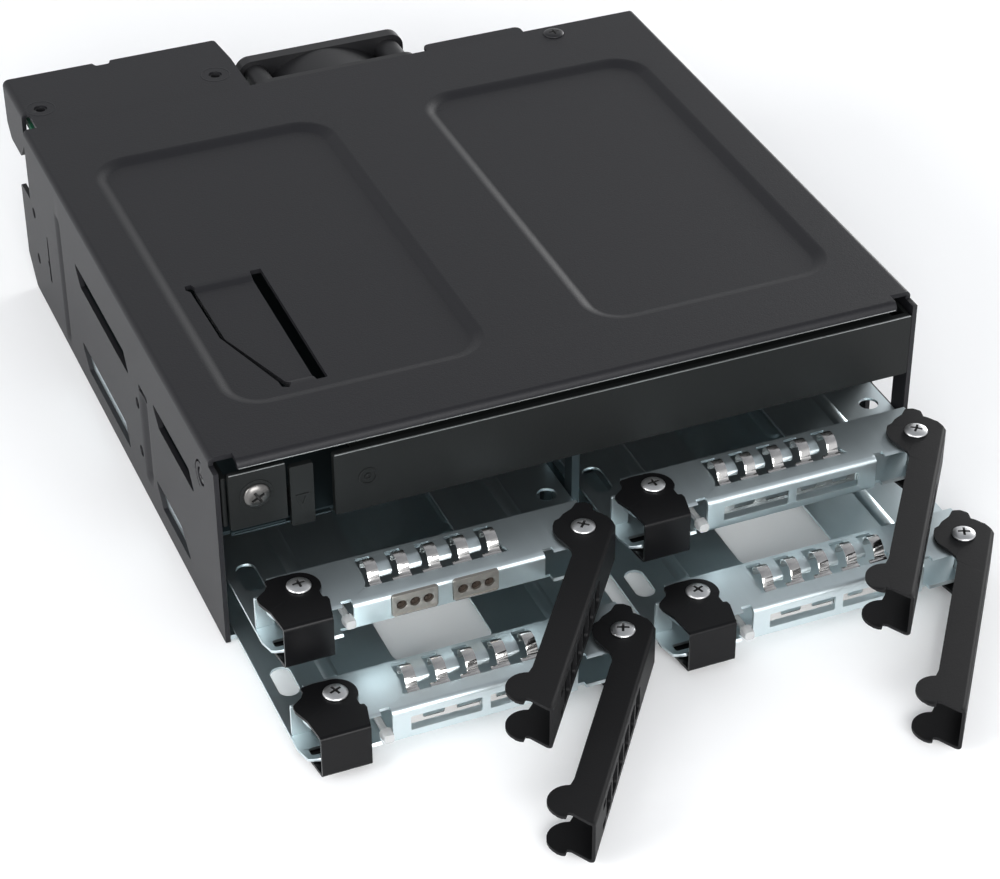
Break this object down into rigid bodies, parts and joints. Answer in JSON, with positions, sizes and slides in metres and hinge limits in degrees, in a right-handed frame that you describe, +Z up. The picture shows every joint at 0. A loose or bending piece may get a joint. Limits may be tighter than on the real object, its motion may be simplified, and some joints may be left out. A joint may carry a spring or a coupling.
{
  "type": "hot swap drive cage",
  "caption": "Black steel cage for one 5.25 inch bay: hot swap trays with swing levers and latches, slim optical bay above, rear fan and sockets.",
  "frame": {"origin": "middle of the cage's underside", "axes": "+Z up, +Y to the rear, the trays come out towards -Y"},
  "size_m": [0.146, 0.2426, 0.0419],
  "materials": {
    "painted_steel": "satin, fine texture",
    "zinc_steel": "satin zinc plate",
    "black_lever": "satin black",
    "nickel": "polished nickel",
    "screw_zinc": "bright zinc",
    "black_screw": "satin black",
    "bezel_steel": "satin black",
    "black_plastic": "matte",
    "board_green": "solder mask",
    "clear_plastic": "clear",
    "clip_bronze": "satin",
    "led": "clear lens"
  },
  "bodies": {
    "cage": {"top_cover": "painted_steel", "bottom_plate": "zinc_steel", "centre_divider": "zinc_steel", "odd_shelf": "zinc_steel", "runner_left": "zinc_steel", "runner_mid_left": "zinc_steel", "runner_mid_right": "zinc_steel", "runner_right": "zinc_steel", "bezel_end_plate": "bezel_steel", "bezel_screw": "screw_zinc", "bay_bezel": "bezel_steel", "backplane_board": "board_green", "drive_connector_ul": "black_plastic", "drive_connector_ur": "black_plastic", "drive_connector_ll": "black_plastic", "drive_connector_lr": "black_plastic", "board_leds": "led", "rear_panel": "painted_steel", "data_ports": "black_plastic", "power_ports": "black_plastic", "fan_frame": "black_plastic", "fan_screws": "screw_zinc", "rear_bracket": "painted_steel", "odd_board": "board_green", "bracket_screws": "black_screw", "odd_connector": "black_plastic", "odd_ports": "black_plastic", "cover_screw": "black_screw", "side_screws": "black_screw"},
    "fan_rotor": {"fan_rotor": "black_plastic"},
    "bay_lock_tab": {"bay_lock_tab": "bezel_steel"},
    "tray_ul": {"tray_ul": "zinc_steel", "finger_strip_ul": "nickel", "light_pipe_ul": "clear_plastic", "latch_screw_ul": "screw_zinc", "lever_screw_ul": "screw_zinc", "clip_inserts_ul": "clip_bronze"},
    "latch_ul": {"latch_ul": "black_lever"},
    "lever_ul": {"lever_ul": "black_lever"},
    "tray_ur": {"tray_ur": "zinc_steel", "finger_strip_ur": "nickel", "light_pipe_ur": "clear_plastic", "latch_screw_ur": "screw_zinc", "lever_screw_ur": "screw_zinc"},
    "latch_ur": {"latch_ur": "black_lever"},
    "lever_ur": {"lever_ur": "black_lever"},
    "tray_ll": {"tray_ll": "zinc_steel", "finger_strip_ll": "nickel", "light_pipe_ll": "clear_plastic", "latch_screw_ll": "screw_zinc", "lever_screw_ll": "screw_zinc"},
    "latch_ll": {"latch_ll": "black_lever"},
    "lever_ll": {"lever_ll": "black_lever"},
    "tray_lr": {"tray_lr": "zinc_steel", "finger_strip_lr": "nickel", "light_pipe_lr": "clear_plastic", "latch_screw_lr": "screw_zinc", "lever_screw_lr": "screw_zinc"},
    "latch_lr": {"latch_lr": "black_lever"},
    "lever_lr": {"lever_lr": "black_lever"}
  },
  "joints": [
    {"name": "fan_spin", "type": "hinge", "parent": "cage", "child": "fan_rotor", "pos_m": [0, 0.075, 0.0206], "axis": [0, 1, 0], "continuous": true},
    {"name": "lock_slide", "type": "slide", "parent": "cage", "child": "bay_lock_tab", "axis": [1, 0, 0], "range_m": [0, 0.0032]},
    {"name": "tray_slide_ul", "type": "slide", "parent": "cage", "child": "tray_ul", "axis": [0, 1, 0], "range_m": [-0.06, 0.026]},
    {"name": "latch_turn_ul", "type": "hinge", "parent": "tray_ul", "child": "latch_ul", "pos_m": [-0.0626, -0.082, 0.0132], "axis": [0, 0, 1], "range_deg": [-9, 8], "stiffness_Nm_per_rad": 0.01},
    {"name": "lever_swing_ul", "type": "hinge", "parent": "tray_ul", "child": "lever_ul", "pos_m": [-0.0075, -0.0859, 0.0132], "axis": [0, 0, 1], "range_deg": [-54, 8]},
    {"name": "tray_slide_ur", "type": "slide", "parent": "cage", "child": "tray_ur", "axis": [0, 1, 0], "range_m": [-0.06, 0.0231]},
    {"name": "latch_turn_ur", "type": "hinge", "parent": "tray_ur", "child": "latch_ur", "pos_m": [0.0102, -0.0791, 0.0132], "axis": [0, 0, 1], "range_deg": [-9, 8], "stiffness_Nm_per_rad": 0.01},
    {"name": "lever_swing_ur", "type": "hinge", "parent": "tray_ur", "child": "lever_ur", "pos_m": [0.0653, -0.083, 0.0132], "axis": [0, 0, 1], "range_deg": [-54, 8]},
    {"name": "tray_slide_ll", "type": "slide", "parent": "cage", "child": "tray_ll", "axis": [0, 1, 0], "range_m": [-0.04, 0.0445]},
    {"name": "latch_turn_ll", "type": "hinge", "parent": "tray_ll", "child": "latch_ll", "pos_m": [-0.0626, -0.1005, 0.0022], "axis": [0, 0, 1], "range_deg": [-9, 8], "stiffness_Nm_per_rad": 0.01},
    {"name": "lever_swing_ll", "type": "hinge", "parent": "tray_ll", "child": "lever_ll", "pos_m": [-0.0075, -0.1044, 0.0022], "axis": [0, 0, 1], "range_deg": [-54, 8]},
    {"name": "tray_slide_lr", "type": "slide", "parent": "cage", "child": "tray_lr", "axis": [0, 1, 0], "range_m": [-0.04, 0.0436]},
    {"name": "latch_turn_lr", "type": "hinge", "parent": "tray_lr", "child": "latch_lr", "pos_m": [0.0102, -0.0996, 0.0022], "axis": [0, 0, 1], "range_deg": [-9, 8], "stiffness_Nm_per_rad": 0.01},
    {"name": "lever_swing_lr", "type": "hinge", "parent": "tray_lr", "child": "lever_lr", "pos_m": [0.0653, -0.1035, 0.0022], "axis": [0, 0, 1], "range_deg": [-54, 8]}
  ]
}
